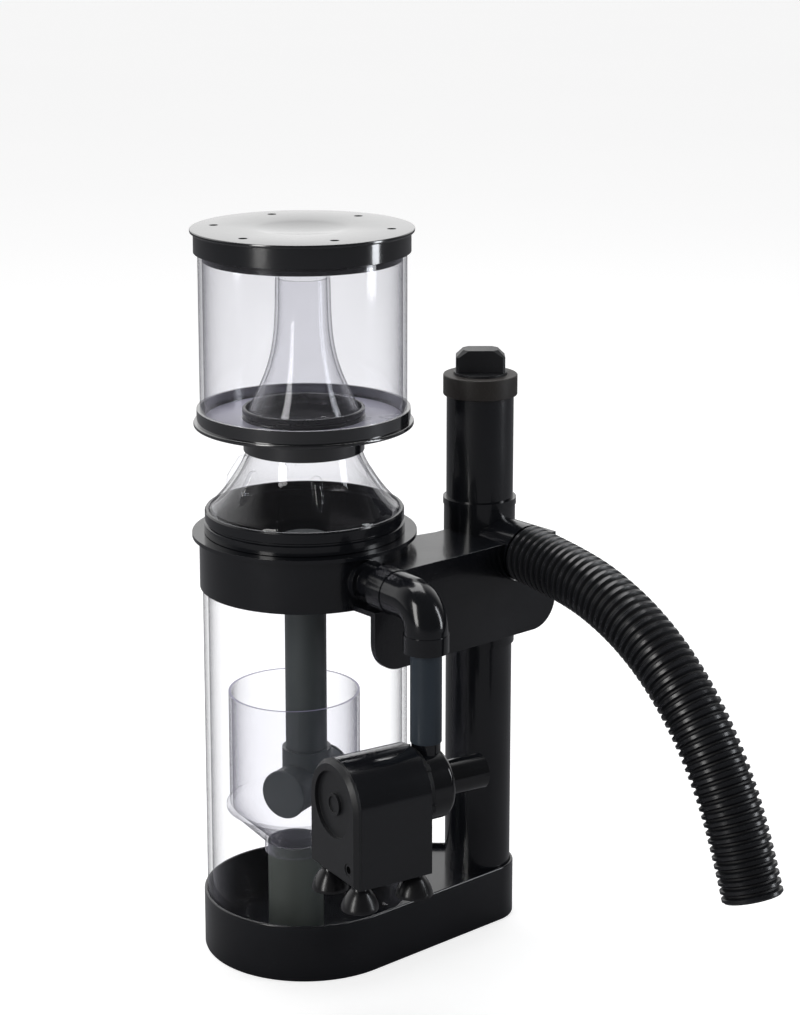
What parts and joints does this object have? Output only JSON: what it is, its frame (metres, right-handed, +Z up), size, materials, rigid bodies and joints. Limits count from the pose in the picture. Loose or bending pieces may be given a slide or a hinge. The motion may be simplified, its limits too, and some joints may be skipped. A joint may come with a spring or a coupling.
{
  "type": "protein skimmer",
  "caption": "Hang-on protein skimmer: clear reaction column and foam cup with chimney, side pump, overflow riser and a drooping outlet hose.",
  "frame": {"origin": "on the floor under the axis of the reaction column", "axes": "+Z up along the column, +X from the column axis to the riser axis, the bracket, pump and outlet hose on the -Y side"},
  "size_m": [0.2689, 0.2944, 0.435],
  "materials": {
    "black_plastic": "glossy injection-moulded black plastic",
    "satin_plastic": "satin dark grey plastic",
    "clear_acrylic": "clear polished acrylic, faint lilac at the edges",
    "grey_pvc": "smooth grey pipe plastic",
    "slate_hose": "soft slate grey tubing",
    "ribbed_hose": "black ribbed flexible hose",
    "soft_rubber": "brown-black soft rubber",
    "ceramic_white": "polished white ceramic shaft"
  },
  "bodies": {
    "root": {"base_tray": "black_plastic", "base_deck": "black_plastic", "reaction_tube": "clear_acrylic", "lower_riser_pipe": "black_plastic", "collar": "black_plastic", "inlet_elbow": "black_plastic", "delivery_hose": "slate_hose", "feed_elbow": "grey_pvc", "downpipe": "grey_pvc", "diffuser_tee": "grey_pvc", "diffuser_caps": "grey_pvc", "bubble_cup": "clear_acrylic", "bubble_cup_stand": "grey_pvc", "outlet_tee": "black_plastic", "outlet_hose": "ribbed_hose", "hang_bracket": "black_plastic", "pump_body": "black_plastic", "pump_cover": "satin_plastic", "cable_gland": "soft_rubber", "lock_ring": "satin_plastic", "volute": "black_plastic", "pump_shaft": "ceramic_white", "suction_cups": "soft_rubber"},
    "cone_body": {"cone": "clear_acrylic", "cone_ring": "black_plastic", "cone_seal": "soft_rubber"},
    "cup_body": {"cup_floor": "black_plastic", "cup_tube": "clear_acrylic", "chimney": "clear_acrylic", "chimney_gasket": "soft_rubber"},
    "lid_body": {"lid": "black_plastic", "lid_seal": "soft_rubber"},
    "sleeve_body": {"riser_sleeve": "black_plastic", "riser_cap_ring": "soft_rubber"},
    "plug_body": {"riser_plug": "satin_plastic"},
    "rotor_body": {"rotor_magnet": "satin_plastic", "impeller": "satin_plastic"}
  },
  "joints": [
    {"name": "cone_twist", "type": "hinge", "parent": "root", "child": "cone_body", "pos_m": [0, 0, 0.26], "axis": [0, 0, 1], "range_deg": [0, 30]},
    {"name": "cup_lift", "type": "slide", "parent": "cone_body", "child": "cup_body", "axis": [0, 0, 1], "range_m": [0, 0.03]},
    {"name": "lid_lift", "type": "slide", "parent": "cup_body", "child": "lid_body", "axis": [0, 0, 1], "range_m": [0, 0.03]},
    {"name": "sleeve_turn", "type": "hinge", "parent": "root", "child": "sleeve_body", "pos_m": [0.1105, 0, 0.26], "axis": [0, 0, 1], "range_deg": [0, 90]},
    {"name": "plug_lift", "type": "slide", "parent": "sleeve_body", "child": "plug_body", "axis": [0, 0, 1], "range_m": [0, 0.02]},
    {"name": "rotor_spin", "type": "hinge", "parent": "root", "child": "rotor_body", "pos_m": [-0.02663, -0.12396, 0.136], "axis": [0.9813, 0.1925, 0], "continuous": true}
  ]
}
